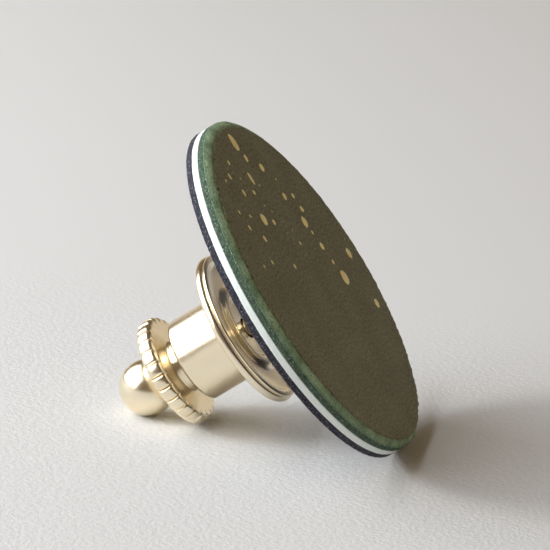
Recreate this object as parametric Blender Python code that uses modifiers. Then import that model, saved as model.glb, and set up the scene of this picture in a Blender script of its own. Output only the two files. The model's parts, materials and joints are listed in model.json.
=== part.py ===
# Round laminated badge, 25 mm across, with a tie-tack post and a ball-lock clutch on its back.
# It lies as it was put down: the badge's back rim and the clutch's milled ring touch z = 0, so the
# face looks up at a slant. Every piece is turned about one of two parallel axes. Along both, a
# place is given as its depth behind the badge's face, and radii are square to them.
import math

import bmesh
import bpy
import mathutils

MM = 0.001

# Badge plies, front to back
BADGE_RADIUS = 12.5 * MM
FACE_MARGIN = 0.5 * MM  # rounded rim of the top ply, outside the face sheet
FACE_THICKNESS = 0.08 * MM
TOP_PLY = 0.36 * MM
TOP_PLY_ROUND = 0.32 * MM  # depth of its rounded front edge
DARK_PLY = 0.40 * MM
WHITE_PLY = 0.47 * MM
BACK_PLY = 0.44 * MM
GLUE_LINE = 0.01 * MM
FACE_EDGE_EASE = 0.03 * MM
BACK_EDGE_EASE = 0.05 * MM
BADGE_SEGMENTS = 72

# Tack: pad glued to the back, post brazed to the pad
TACK_OFFSET = 0.32 * MM  # the post stands this far below the badge's centre
ADHESIVE = 0.05 * MM
PAD_RADIUS = 4.0 * MM
PAD_THICKNESS = 0.45 * MM
PAD_EDGE_EASE = 0.12 * MM
ADHESIVE_SETBACK = 0.1 * MM
POST_RADIUS = 0.6 * MM
POST_POINT_LENGTH = 0.7 * MM
POST_POINT_RADIUS = 0.15 * MM
POST_NECK_DEPTH = 0.1 * MM
POST_NECK_LENGTH = 0.5 * MM
BRAZE_RADIUS = 1.1 * MM
BRAZE_HEIGHT = 0.3 * MM

# Clutch housing: a front plate closed over a flanged barrel
CLUTCH_GAP = 3.77 * MM  # badge's back to the clutch's front, where the cloth goes
PLATE_RADIUS = 5.44 * MM
PLATE_THICKNESS = 0.18 * MM
PLATE_LIP = 0.42 * MM
PLATE_DISH_DEPTH = 0.38 * MM
PLATE_RING_DEPTH = 0.12 * MM
PLATE_SLOPE = 0.35 * MM
PLATE_SEAT_CLEARANCE = 0.08 * MM
PLATE_RING_RADIUS = 2.6 * MM
PLATE_RING_WIDTH = 0.5 * MM
PLATE_HOLE_CLEARANCE = 0.15 * MM
FLANGE_LAP = 0.1 * MM  # how far the flange stands out past the plate
FLANGE_EDGE_ROUND = 0.25 * MM
FLANGE_WALL = 0.26 * MM
BARREL_RADIUS = 3.0 * MM
BARREL_LENGTH = 4.04 * MM
BARREL_WALL = 0.35 * MM
BARREL_REAR_ROUND = 0.25 * MM
REAR_WALL = 0.35 * MM

# Lock: three balls in a cage, pressed on the post by a cone that narrows towards the badge
BALL_COUNT = 3
BALL_RADIUS = 0.5 * MM
BALL_SEAT = 0.75 * MM  # ball centres behind the cone's front
CONE_HALF_ANGLE = math.radians(12.0)
CONE_LENGTH = 1.5 * MM
CAGE_FRONT_LAND = 0.6 * MM
SHOULDER_THICKNESS = 0.25 * MM
SPRING_WIRE_RADIUS = 0.12 * MM
SPRING_TURNS = 3
SPRING_POINTS_PER_TURN = 14

# Knob: a milled ring on the cage's stem, closed by a ball
RING_RADIUS = 3.95 * MM
RING_WIDTH = 1.17 * MM
RING_EDGE_ROUND = 0.18 * MM
RING_PADS = 26
RING_FACETS_PER_PAD = 3
GROOVE_WIDTH = 0.2 * MM
GROOVE_DEPTH = 0.28 * MM
HUB_WALL = 0.5 * MM
RING_GAP = 0.83 * MM  # barrel's rear to the ring's front
HUB_GAP = 0.17 * MM  # barrel's rear to the ring's hub
KNOB_RADIUS = 1.95 * MM
KNOB_NECK_RADIUS = 1.15 * MM
KNOB_FOOT_LAP = 0.2 * MM
KNOB_NECK_LENGTH = 0.06 * MM
KNOB_FOOT = 0.1 * MM
SPIGOT_LENGTH = 0.57 * MM

# Fits
SLIP = 0.02 * MM  # between pieces that stay put on each other
BALL_SLIP = 0.01 * MM
CAGE_BORE_CLEARANCE = 0.08 * MM
POCKET_CLEARANCE = 0.03 * MM
STEM_CLEARANCE = 0.24 * MM
SPIGOT_CLEARANCE = 0.04 * MM
END_CLEARANCE = 0.06 * MM
DISH_CLEARANCE = 0.04 * MM
CAGE_CLEARANCE = 0.13 * MM  # cage to the cone's narrow end
SHOULDER_CLEARANCE = 0.35 * MM
POST_TIP_CLEARANCE = 0.87 * MM
CUT_OVERRUN = 0.4 * MM
CLUTCH_SEGMENTS = 48
KNOB_SEGMENTS = 32
KNOB_ARC_STEPS = 12
POST_SEGMENTS = 24
MERGE = 1e-7

FACE_RADIUS = BADGE_RADIUS - FACE_MARGIN
FLANGE_RADIUS = PLATE_RADIUS + FLANGE_LAP

# Depths behind the badge's face, each from the one before
TOP_PLY_FRONT = FACE_THICKNESS + GLUE_LINE
DARK_PLY_FRONT = TOP_PLY_FRONT + TOP_PLY + GLUE_LINE
WHITE_PLY_FRONT = DARK_PLY_FRONT + DARK_PLY + GLUE_LINE
BACK_PLY_FRONT = WHITE_PLY_FRONT + WHITE_PLY + GLUE_LINE
BADGE_BACK = BACK_PLY_FRONT + BACK_PLY
ADHESIVE_FRONT = BADGE_BACK + GLUE_LINE
PAD_FRONT = ADHESIVE_FRONT + ADHESIVE + GLUE_LINE
PAD_BACK = PAD_FRONT + PAD_THICKNESS
POST_FRONT = PAD_BACK + GLUE_LINE
CLUTCH_FRONT = BADGE_BACK + CLUTCH_GAP
FLANGE_FRONT = CLUTCH_FRONT + PLATE_THICKNESS + SLIP
FLANGE_SEAT = CLUTCH_FRONT + PLATE_DISH_DEPTH + PLATE_THICKNESS + DISH_CLEARANCE
FLANGE_BACK = FLANGE_SEAT + FLANGE_WALL
FLANGE_THICKNESS = FLANGE_BACK - FLANGE_FRONT
BARREL_REAR = FLANGE_BACK + BARREL_LENGTH
BARREL_BORE = BARREL_RADIUS - BARREL_WALL
CONE_START = FLANGE_BACK + DISH_CLEARANCE
CONE_END = CONE_START + CONE_LENGTH
BALL_PLACE = CONE_START + BALL_SEAT
BALL_ORBIT = POST_RADIUS + BALL_RADIUS + BALL_SLIP
CONE_AT_BALLS = BALL_ORBIT + (BALL_RADIUS + 2 * BALL_SLIP) / math.cos(CONE_HALF_ANGLE)
CAGE_BORE = POST_RADIUS + CAGE_BORE_CLEARANCE
CAGE_FRONT = BALL_PLACE - CAGE_FRONT_LAND
CAGE_RADIUS = CONE_AT_BALLS - CAGE_FRONT_LAND * math.tan(CONE_HALF_ANGLE) - CAGE_CLEARANCE
SHOULDER_RADIUS = BARREL_BORE - SHOULDER_CLEARANCE
SPRING_RADIUS = (CAGE_RADIUS + BARREL_BORE) / 2
SHOULDER_FRONT = CONE_END + END_CLEARANCE
SHOULDER_BACK = SHOULDER_FRONT + SHOULDER_THICKNESS
REAR_WALL_FRONT = BARREL_REAR - REAR_WALL
STEM_HOLE = CAGE_RADIUS + STEM_CLEARANCE
RING_FRONT = BARREL_REAR + RING_GAP
RING_BACK = RING_FRONT + RING_WIDTH
HUB_FRONT = BARREL_REAR + HUB_GAP
RING_BORE = CAGE_RADIUS + SLIP
RING_HUB_RADIUS = RING_BORE + HUB_WALL
CAGE_BACK = RING_BACK - END_CLEARANCE
SPIGOT_FRONT = RING_BACK - SPIGOT_LENGTH
POST_TIP = SPIGOT_FRONT - POST_TIP_CLEARANCE
FOOT_FRONT = RING_BACK + SLIP
FOOT_BACK = FOOT_FRONT + KNOB_FOOT
KNOB_NECK_ANGLE = math.asin(KNOB_NECK_RADIUS / KNOB_RADIUS)
KNOB_PLACE = FOOT_BACK + KNOB_NECK_LENGTH + KNOB_RADIUS * math.cos(KNOB_NECK_ANGLE)

# The rims that touch down: a facet of the back ply and a facet of the ring, both lowest
BADGE_REACH = BADGE_RADIUS * math.cos(math.pi / BADGE_SEGMENTS)
RING_REACH = RING_RADIUS * math.cos(math.pi / (RING_PADS * RING_FACETS_PER_PAD))
BADGE_TOUCH = BADGE_BACK - BACK_EDGE_EASE
RING_TOUCH = RING_BACK - RING_EDGE_ROUND
LEAN = math.atan2(BADGE_REACH - TACK_OFFSET - RING_REACH, RING_TOUCH - BADGE_TOUCH)
FACE_HEIGHT = BADGE_REACH * math.cos(LEAN) + BADGE_TOUCH * math.sin(LEAN)

# The origin is under the middle of the object's length, from the knob's back to the badge's rim.
REAR_REACH = KNOB_PLACE * math.cos(LEAN) - TACK_OFFSET * math.sin(LEAN) + KNOB_RADIUS
RIM_REACH = BADGE_REACH * math.sin(LEAN) - (TOP_PLY_FRONT + TOP_PLY_ROUND) * math.cos(LEAN)
FACE_FORWARD = (REAR_REACH - RIM_REACH) / 2


def clear_scene():
    for old in list(bpy.data.objects):
        bpy.data.objects.remove(old, do_unlink=True)


def make_collection(name):
    collection = bpy.data.collections.new(name)
    bpy.context.scene.collection.children.link(collection)
    return collection


def make_material(name, color, roughness, metallic=0.0):
    material = bpy.data.materials.new(name)
    material.use_nodes = True
    shader = material.node_tree.nodes["Principled BSDF"]
    shader.inputs["Base Color"].default_value = (*color, 1.0)
    shader.inputs["Roughness"].default_value = roughness
    shader.inputs["Metallic"].default_value = metallic
    return material


def make_axis(name, parent, location, turn=(0.0, 0.0, 0.0)):
    axis = bpy.data.objects.new(name, None)
    axis.empty_display_size = 3 * MM
    axis.parent = parent
    axis.location = location
    axis.rotation_euler = turn
    parts.objects.link(axis)
    return axis


def place(obj, axis, material, collection=None):
    obj.parent = axis
    obj.data.materials.append(material)
    (collection or parts).objects.link(obj)
    return obj


def hide_cutter(cutter):
    cutter.hide_render = True
    cutter.display_type = "WIRE"


def turned(name, outline, axis, material, segments, collection=None):
    """Turn (radius, depth) points, given down the outside first, about the axis."""
    points = [(radius, 0.0, -depth) for radius, depth in outline]
    edges = [(i, i + 1) for i in range(len(points) - 1)]
    if outline[0][0] > 0.0:
        edges.append((len(points) - 1, 0))
    mesh = bpy.data.meshes.new(name)
    mesh.from_pydata(points, edges, [])
    obj = place(bpy.data.objects.new(name, mesh), axis, material, collection)
    # Half a facet round, so that a flat and not a corner is lowest.
    obj.rotation_euler.z = math.pi / segments
    screw = obj.modifiers.new("Turn", "SCREW")
    screw.axis = "Z"
    screw.angle = 2 * math.pi
    screw.steps = segments
    screw.render_steps = segments
    screw.use_merge_vertices = True
    screw.merge_threshold = MERGE
    screw.use_smooth_shade = True
    normals = obj.modifiers.new("Flat ends", "WEIGHTED_NORMAL")
    normals.keep_sharp = True
    return obj


def cut(obj, cutter):
    boolean = obj.modifiers.new("Cut", "BOOLEAN")
    boolean.operation = "DIFFERENCE"
    boolean.object = cutter
    hide_cutter(cutter)


def arc(centre_radius, centre_depth, size, start, end, steps):
    """Points round a centre; 0 degrees is outwards and 90 degrees is towards the rear."""
    angles = [math.radians(start + (end - start) * i / steps) for i in range(steps + 1)]
    return [
        (centre_radius + size * math.cos(a), centre_depth + size * math.sin(a)) for a in angles
    ]


def plain_ply(name, front, thickness, material):
    back = front + thickness
    outline = [(0.0, front), (BADGE_RADIUS, front), (BADGE_RADIUS, back), (0.0, back)]
    turned(name, outline, badge_axis, material, BADGE_SEGMENTS)


def build_badge():
    face = [
        (0.0, 0.0),
        (FACE_RADIUS - FACE_EDGE_EASE, 0.0),
        (FACE_RADIUS, FACE_EDGE_EASE),
        (FACE_RADIUS, FACE_THICKNESS),
        (0.0, FACE_THICKNESS),
    ]
    turned("face_sheet", face, badge_axis, olive, BADGE_SEGMENTS)

    # The top ply's front edge is rounded over from the face sheet's rim to the full radius.
    shoulder = BADGE_RADIUS - FACE_RADIUS
    top = [(0.0, TOP_PLY_FRONT)]
    for i in range(5):
        angle = math.radians(90.0 * i / 4)
        top.append(
            (
                FACE_RADIUS + shoulder * math.sin(angle),
                TOP_PLY_FRONT + TOP_PLY_ROUND * (1.0 - math.cos(angle)),
            )
        )
    top += [(BADGE_RADIUS, TOP_PLY_FRONT + TOP_PLY), (0.0, TOP_PLY_FRONT + TOP_PLY)]
    turned("light_green_ply", top, badge_axis, light_green, BADGE_SEGMENTS)

    plain_ply("dark_green_ply", DARK_PLY_FRONT, DARK_PLY, dark_green)
    plain_ply("white_ply", WHITE_PLY_FRONT, WHITE_PLY, white)
    back = [
        (0.0, BACK_PLY_FRONT),
        (BADGE_RADIUS, BACK_PLY_FRONT),
        (BADGE_RADIUS, BADGE_TOUCH),
        (BADGE_RADIUS - BACK_EDGE_EASE, BADGE_BACK),
        (0.0, BADGE_BACK),
    ]
    turned("navy_ply", back, badge_axis, navy, BADGE_SEGMENTS)


def build_tack():
    film_radius = PAD_RADIUS - ADHESIVE_SETBACK
    film_back = ADHESIVE_FRONT + ADHESIVE
    film = [
        (0.0, ADHESIVE_FRONT),
        (film_radius, ADHESIVE_FRONT),
        (film_radius, film_back),
        (0.0, film_back),
    ]
    turned("pad_adhesive", film, tack_axis, adhesive, CLUTCH_SEGMENTS)

    pad = [(0.0, PAD_FRONT), (PAD_RADIUS, PAD_FRONT)]
    pad += arc(PAD_RADIUS - PAD_EDGE_EASE, PAD_BACK - PAD_EDGE_EASE, PAD_EDGE_EASE, 0, 90, 2)
    pad.append((0.0, PAD_BACK))
    turned("tack_pad", pad, tack_axis, brass, CLUTCH_SEGMENTS)

    point_start = POST_TIP - POST_POINT_LENGTH
    neck_end = point_start - POST_NECK_LENGTH
    neck_start = neck_end - POST_NECK_LENGTH
    neck_radius = POST_RADIUS - POST_NECK_DEPTH
    post = [
        (0.0, POST_FRONT),
        (POST_RADIUS, POST_FRONT),
        (POST_RADIUS, neck_start),
        (neck_radius, neck_start + POST_NECK_DEPTH),
        (neck_radius, neck_end - POST_NECK_DEPTH),
        (POST_RADIUS, neck_end),
        (POST_RADIUS, point_start),
        (POST_POINT_RADIUS, POST_TIP),
        (0.0, POST_TIP),
    ]
    turned("tack_post", post, tack_axis, brass, POST_SEGMENTS)

    inner = POST_RADIUS + SLIP
    width = BRAZE_RADIUS - inner - SLIP
    hollow = [
        (
            BRAZE_RADIUS - width * math.sin(math.radians(a)),
            POST_FRONT + SLIP + (BRAZE_HEIGHT - SLIP) * (1.0 - math.cos(math.radians(a))),
        )
        for a in (0, 30, 60, 90)
    ]
    # From the pad outwards, then down the hollow fillet and back up the post.
    braze = [(inner, POST_FRONT), (BRAZE_RADIUS, POST_FRONT)] + hollow
    braze.append((inner, POST_FRONT + BRAZE_HEIGHT))
    turned("post_braze", braze, tack_axis, solder, POST_SEGMENTS)


def build_housing():
    hole = POST_RADIUS + PLATE_HOLE_CLEARANCE
    lip_inner = PLATE_RADIUS - PLATE_LIP
    ring_outer = PLATE_RING_RADIUS + PLATE_RING_WIDTH / 2
    ring_inner = PLATE_RING_RADIUS - PLATE_RING_WIDTH / 2
    dish = CLUTCH_FRONT + PLATE_DISH_DEPTH
    crest = CLUTCH_FRONT + PLATE_RING_DEPTH
    # Front surface from the hole to the lip; the rear surface repeats it one thickness behind.
    front = [
        (hole, dish),
        (ring_inner - PLATE_SLOPE, dish),
        (ring_inner, crest),
        (ring_outer, crest),
        (ring_outer + PLATE_SLOPE, dish),
        (lip_inner - PLATE_SLOPE, dish),
        (lip_inner, CLUTCH_FRONT),
        (PLATE_RADIUS, CLUTCH_FRONT),
    ]
    rear = [(radius, depth + PLATE_THICKNESS) for radius, depth in reversed(front)]
    turned("clutch_front_plate", front + rear, clutch_axis, brass, CLUTCH_SEGMENTS)

    rim_round = FLANGE_THICKNESS / 2
    flange_bore = lip_inner + PLATE_SEAT_CLEARANCE
    shell = arc(FLANGE_RADIUS - rim_round, FLANGE_FRONT + rim_round, rim_round, -90, 90, 6)
    shell += [
        (BARREL_RADIUS + FLANGE_EDGE_ROUND, FLANGE_BACK),
        (BARREL_RADIUS, FLANGE_BACK + FLANGE_EDGE_ROUND),
    ]
    shell += arc(
        BARREL_RADIUS - BARREL_REAR_ROUND, BARREL_REAR - BARREL_REAR_ROUND, BARREL_REAR_ROUND, 0, 90, 3
    )
    shell += [
        (STEM_HOLE, BARREL_REAR),
        (STEM_HOLE, REAR_WALL_FRONT),
        (BARREL_BORE, REAR_WALL_FRONT),
        (BARREL_BORE, FLANGE_SEAT),
        (flange_bore, FLANGE_SEAT),
        (flange_bore, FLANGE_FRONT),
    ]
    turned("clutch_shell", shell, clutch_axis, brass, CLUTCH_SEGMENTS)

    def cone_radius(depth):
        return CONE_AT_BALLS + (depth - BALL_PLACE) * math.tan(CONE_HALF_ANGLE)

    seat = BARREL_BORE - SLIP
    cone = [
        (cone_radius(CONE_START), CONE_START),
        (seat, CONE_START),
        (seat, CONE_END),
        (cone_radius(CONE_END), CONE_END),
    ]
    turned("lock_cone", cone, clutch_axis, steel, CLUTCH_SEGMENTS)


def build_cage():
    cage = [
        (CAGE_BORE, CAGE_FRONT),
        (CAGE_RADIUS, CAGE_FRONT),
        (CAGE_RADIUS, SHOULDER_FRONT),
        (SHOULDER_RADIUS, SHOULDER_FRONT),
        (SHOULDER_RADIUS, SHOULDER_BACK),
        (CAGE_RADIUS, SHOULDER_BACK),
        (CAGE_RADIUS, CAGE_BACK),
        (CAGE_BORE, CAGE_BACK),
    ]
    cage = turned("ball_cage", cage, knob_axis, brass, KNOB_SEGMENTS)

    # One pocket for each ball, drilled square to the axis; the first faces the badge's top.
    for index in range(BALL_COUNT):
        angle = math.pi + 2 * math.pi * index / BALL_COUNT
        outward = (math.cos(angle), math.sin(angle), 0.0)

        mesh = bpy.data.meshes.new("pocket_%d" % (index + 1))
        drill = bmesh.new()
        bmesh.ops.create_cone(
            drill,
            cap_ends=True,
            segments=16,
            radius1=BALL_RADIUS + POCKET_CLEARANCE,
            radius2=BALL_RADIUS + POCKET_CLEARANCE,
            depth=CAGE_RADIUS + CUT_OVERRUN,
        )
        drill.to_mesh(mesh)
        drill.free()
        middle = (CAGE_RADIUS + CUT_OVERRUN) / 2
        pocket = bpy.data.objects.new(mesh.name, mesh)
        pocket.location = (outward[0] * middle, outward[1] * middle, -BALL_PLACE)
        pocket.rotation_euler = (0.0, math.pi / 2, angle)
        place(pocket, knob_axis, brass, cutters)
        cut(cage, pocket)

        mesh = bpy.data.meshes.new("lock_ball_%d" % (index + 1))
        sphere = bmesh.new()
        bmesh.ops.create_uvsphere(sphere, u_segments=14, v_segments=8, radius=BALL_RADIUS)
        sphere.to_mesh(mesh)
        sphere.free()
        mesh.shade_smooth()
        ball = bpy.data.objects.new(mesh.name, mesh)
        ball.location = (outward[0] * BALL_ORBIT, outward[1] * BALL_ORBIT, -BALL_PLACE)
        ball.rotation_euler = (0.0, 0.0, angle)
        place(ball, knob_axis, steel)


def build_spring():
    start = SHOULDER_BACK + SPRING_WIRE_RADIUS + SLIP
    end = REAR_WALL_FRONT - SPRING_WIRE_RADIUS - SLIP
    count = SPRING_TURNS * SPRING_POINTS_PER_TURN + 1
    curve = bpy.data.curves.new("knob_spring", "CURVE")
    curve.dimensions = "3D"
    curve.bevel_depth = SPRING_WIRE_RADIUS
    curve.bevel_resolution = 1
    curve.use_fill_caps = True
    spline = curve.splines.new("POLY")
    spline.points.add(count - 1)
    for i, point in enumerate(spline.points):
        share = i / (count - 1)
        angle = 2 * math.pi * SPRING_TURNS * share
        depth = start + (end - start) * share
        point.co = (SPRING_RADIUS * math.cos(angle), SPRING_RADIUS * math.sin(angle), -depth, 1.0)
    spring = bpy.data.objects.new("knob_spring", curve)
    place(spring, knob_axis, steel)


def build_ring():
    facets = RING_PADS * RING_FACETS_PER_PAD
    ring = [(RING_BORE, HUB_FRONT), (RING_HUB_RADIUS, HUB_FRONT), (RING_HUB_RADIUS, RING_FRONT)]
    inset = RING_RADIUS - RING_EDGE_ROUND
    ring += arc(inset, RING_FRONT + RING_EDGE_ROUND, RING_EDGE_ROUND, -90, 0, 2)
    ring += arc(inset, RING_BACK - RING_EDGE_ROUND, RING_EDGE_ROUND, 0, 90, 2)
    ring.append((RING_BORE, RING_BACK))
    ring = turned("knurled_ring", ring, knob_axis, brass, facets)

    # A groove between each pair of pads, so that a pad and not a groove is lowest.
    length = RING_WIDTH + 2 * CUT_OVERRUN
    depth = GROOVE_DEPTH + CUT_OVERRUN
    mesh = bpy.data.meshes.new("ring_grooves")
    grooves = bmesh.new()
    for index in range(RING_PADS):
        made = bmesh.ops.create_cube(grooves, size=1.0)["verts"]
        bmesh.ops.scale(grooves, vec=(depth, GROOVE_WIDTH, length), verts=made)
        middle = RING_RADIUS - GROOVE_DEPTH + depth / 2
        bmesh.ops.translate(grooves, vec=(middle, 0.0, -(RING_FRONT + RING_BACK) / 2), verts=made)
        turn = 2 * math.pi * (index + 0.5) / RING_PADS
        matrix = mathutils.Matrix.Rotation(turn, 3, "Z")
        bmesh.ops.rotate(grooves, cent=(0.0, 0.0, 0.0), matrix=matrix, verts=made)
    grooves.to_mesh(mesh)
    grooves.free()
    cutter = place(bpy.data.objects.new("ring_grooves", mesh), knob_axis, brass, cutters)
    cut(ring, cutter)


def build_knob():
    spigot = CAGE_BORE - SPIGOT_CLEARANCE
    foot = RING_BORE + KNOB_FOOT_LAP
    knob = [
        (0.0, SPIGOT_FRONT),
        (spigot, SPIGOT_FRONT),
        (spigot, FOOT_FRONT),
        (foot, FOOT_FRONT),
        (foot - KNOB_FOOT / 2, FOOT_BACK),
        (KNOB_NECK_RADIUS, FOOT_BACK),
    ]
    neck_end = math.degrees(KNOB_NECK_ANGLE) - 90.0
    ball = arc(0.0, KNOB_PLACE, KNOB_RADIUS, neck_end, 90, KNOB_ARC_STEPS)
    ball[-1] = (0.0, KNOB_PLACE + KNOB_RADIUS)
    turned("ball_knob", knob + ball, knob_axis, brass, KNOB_SEGMENTS)


clear_scene()
parts = make_collection("tie_tack_badge")
cutters = make_collection("cutters")

olive = make_material("olive_face", (0.075, 0.065, 0.038), 0.62)
light_green = make_material("light_green_board", (0.25, 0.34, 0.22), 0.8)
dark_green = make_material("dark_green_board", (0.075, 0.115, 0.07), 0.85)
white = make_material("white_board", (0.86, 0.9, 0.84), 0.8)
navy = make_material("navy_board", (0.045, 0.042, 0.075), 0.85)
adhesive = make_material("clear_adhesive", (0.75, 0.74, 0.68), 0.4)
brass = make_material("pale_brass", (0.83, 0.71, 0.5), 0.16, 1.0)
solder = make_material("silver_braze", (0.72, 0.7, 0.66), 0.35, 1.0)
steel = make_material("lock_steel", (0.62, 0.62, 0.63), 0.2, 1.0)

# The badge's axis points out of its face, leaning up; its local +X points down across the face.
badge_axis = make_axis(
    "badge_axis", None, (FACE_FORWARD, 0.0, FACE_HEIGHT), (0.0, math.pi / 2 - LEAN, 0.0)
)
tack_axis = make_axis("tack_axis", badge_axis, (TACK_OFFSET, 0.0, 0.0))
clutch_axis = make_axis("clutch_axis", tack_axis, (0.0, 0.0, 0.0))
knob_axis = make_axis("knob_axis", clutch_axis, (0.0, 0.0, 0.0))

build_badge()
build_tack()
build_housing()
build_cage()
build_spring()
build_ring()
build_knob()
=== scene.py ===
import json
import math
import random

import bmesh
import bpy
from mathutils import Matrix, Vector


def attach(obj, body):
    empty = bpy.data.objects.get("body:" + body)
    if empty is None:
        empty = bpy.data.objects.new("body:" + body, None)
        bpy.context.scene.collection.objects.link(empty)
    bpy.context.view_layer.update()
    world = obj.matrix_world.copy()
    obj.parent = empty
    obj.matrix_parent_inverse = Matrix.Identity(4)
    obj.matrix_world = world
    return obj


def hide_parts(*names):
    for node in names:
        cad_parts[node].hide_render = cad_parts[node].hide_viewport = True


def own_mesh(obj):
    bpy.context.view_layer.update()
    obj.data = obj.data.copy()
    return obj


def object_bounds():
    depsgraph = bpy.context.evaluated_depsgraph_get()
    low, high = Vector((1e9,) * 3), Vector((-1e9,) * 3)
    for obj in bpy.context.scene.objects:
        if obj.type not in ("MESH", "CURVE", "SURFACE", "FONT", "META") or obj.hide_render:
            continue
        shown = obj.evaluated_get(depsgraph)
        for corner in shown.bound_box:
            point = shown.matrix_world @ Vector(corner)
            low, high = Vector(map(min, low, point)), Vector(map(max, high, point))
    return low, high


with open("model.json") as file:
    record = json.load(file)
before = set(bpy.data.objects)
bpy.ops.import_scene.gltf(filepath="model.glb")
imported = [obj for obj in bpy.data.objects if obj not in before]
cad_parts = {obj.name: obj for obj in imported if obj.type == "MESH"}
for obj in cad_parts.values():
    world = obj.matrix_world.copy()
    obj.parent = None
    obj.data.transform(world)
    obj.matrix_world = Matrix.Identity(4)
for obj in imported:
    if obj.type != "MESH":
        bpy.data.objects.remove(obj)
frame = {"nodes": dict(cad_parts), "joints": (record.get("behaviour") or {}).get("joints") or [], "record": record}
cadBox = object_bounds()
print("frame loaded:", len(frame["nodes"]), "CAD nodes")

# Every piece is modelled upright on its own axis, with its front up and sizes in millimetres,
# then laid over onto the badge's line or the post's. Depths are behind the badge's face.
mm = 0.001
faceMount = next(m for m in frame["record"]["mounts"] if m["name"] == "badge_face")
spinJoint = next(j for j in frame["joints"] if j["name"] == "clutch_spin")
faceCentre = Vector(faceMount["pos_m"])
outward = Vector(faceMount["axis"])
downFace = Vector((outward.z, 0.0, -outward.x))
leanTurn = math.atan2(outward.x, outward.z)
postOffset = (Vector(spinJoint["pos_m"]) - faceCentre).dot(downFace)
weld = 0.001 * mm
badgeRadius = 12.5
roughRoom = 0.02  # kept free at a rim for what roughening pushes out
fullTurn = 2 * math.pi


# Modelling helpers.

def selectNothing():
    if bpy.context.object and bpy.context.object.mode != "OBJECT":
        bpy.ops.object.mode_set(mode="OBJECT")
    bpy.ops.object.select_all(action="DESELECT")


def selectOnly(obj):
    selectNothing()
    obj.select_set(True)
    bpy.context.view_layer.objects.active = obj


def nameNew(name):
    # Names the new object and puts its place into its mesh.
    bpy.ops.object.transform_apply(location=True, rotation=True, scale=True)
    obj = bpy.context.object
    obj.name = name
    obj.data.name = name
    return obj


def startEdit(obj, kind="VERT"):
    selectOnly(obj)
    bpy.ops.object.mode_set(mode="EDIT")
    bpy.ops.mesh.select_mode(type=kind)
    bpy.ops.mesh.select_all(action="DESELECT")


def endEdit():
    bpy.ops.object.mode_set(mode="OBJECT")


def pick(obj, test, kind="VERT"):
    # Selects what passes the test, in edit mode, and nothing else.
    bpy.ops.mesh.select_mode(type=kind)
    bpy.ops.mesh.select_all(action="DESELECT")
    shape = bmesh.from_edit_mesh(obj.data)
    found = {"VERT": shape.verts, "EDGE": shape.edges, "FACE": shape.faces}[kind]
    for item in found:
        if test(item):
            item.select_set(True)
    shape.select_flush_mode()
    bmesh.update_edit_mesh(obj.data)


def facesFront(face):
    return face.normal.z > 0.9


def facesBack(face):
    return face.normal.z < -0.9


def isFlatSide(face):
    return facesFront(face) or facesBack(face)


def radiusOf(vert):
    return math.hypot(vert.co.x, vert.co.y) / mm


def onRing(vert, radius, depth, reach=0.004):
    return abs(radiusOf(vert) - radius) < reach and abs(-vert.co.z / mm - depth) < reach


def roundRing(obj, radius, depth, size, segments=4):
    # Rounds one turned edge, found by its radius and depth.
    startEdit(obj, "EDGE")
    pick(obj, lambda edge: all(onRing(vert, radius, depth) for vert in edge.verts), "EDGE")
    bpy.ops.mesh.bevel(offset=size * mm, segments=segments, affect="EDGES", clamp_overlap=False)
    endEdit()


def turnOutline(name, outline, steps, angle=fullTurn):
    # A single vertex, drawn out along (radius, depth) points and spun about the axis.
    selectNothing()
    radius, depth = outline[0]
    bpy.ops.mesh.primitive_plane_add(size=0.1 * mm, location=(radius * mm, 0, -depth * mm))
    obj = nameNew(name)
    startEdit(obj)
    bpy.ops.mesh.select_all(action="SELECT")
    bpy.ops.mesh.merge(type="CENTER")
    for (r0, d0), (r1, d1) in zip(outline, outline[1:]):
        step = ((r1 - r0) * mm, 0, (d0 - d1) * mm)
        bpy.ops.mesh.extrude_vertices_move(TRANSFORM_OT_translate={"value": step})
    bpy.ops.mesh.select_all(action="SELECT")
    bpy.ops.mesh.spin(steps=steps, angle=angle, center=(0, 0, 0), axis=(0, 0, 1))
    weldAll()
    endEdit()
    return obj


def weldAll():
    bpy.ops.mesh.select_all(action="SELECT")
    bpy.ops.mesh.remove_doubles(threshold=weld)
    bpy.ops.mesh.normals_make_consistent(inside=False)


def addDisc(name, radius, front, back, steps):
    selectNothing()
    bpy.ops.mesh.primitive_cylinder_add(
        vertices=steps,
        radius=radius * mm,
        depth=(back - front) * mm,
        end_fill_type="NGON",
        location=(0, 0, -(front + back) / 2 * mm),
    )
    return nameNew(name)


def resizeRing(factor):
    bpy.ops.transform.resize(value=(factor, factor, 1), center_override=(0, 0, 0))


def drawUp(rise, factor):
    # Extrudes what is selected along the axis, then widens or narrows it.
    bpy.ops.mesh.extrude_region_move(TRANSFORM_OT_translate={"value": (0, 0, rise * mm)})
    resizeRing(factor)


def insetBy(*widths):
    for width in widths:
        bpy.ops.mesh.inset(thickness=width * mm)


def finishModifiers(obj):
    selectOnly(obj)
    for modifier in list(obj.modifiers):
        bpy.ops.object.modifier_apply(modifier=modifier.name)


def roughen(obj, groupName, size, strength, depth=2, directions=("NORMAL",)):
    # Pushes a vertex group in and out by a cloud texture of that grain size.
    texture = bpy.data.textures.new(obj.name + "Rough", "CLOUDS")
    texture.noise_scale = size * mm
    texture.noise_depth = depth
    for direction in directions:
        push = obj.modifiers.new("rough" + direction, "DISPLACE")
        push.texture = texture
        push.texture_coords = "LOCAL"
        push.direction = direction
        push.vertex_group = groupName
        push.mid_level = 0.5
        push.strength = strength * mm
    finishModifiers(obj)


def groupWhere(obj, name, test):
    startEdit(obj)
    pick(obj, test)
    group = obj.vertex_groups.new(name=name)
    obj.vertex_groups.active_index = group.index
    bpy.ops.object.vertex_group_assign()
    endEdit()


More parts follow.
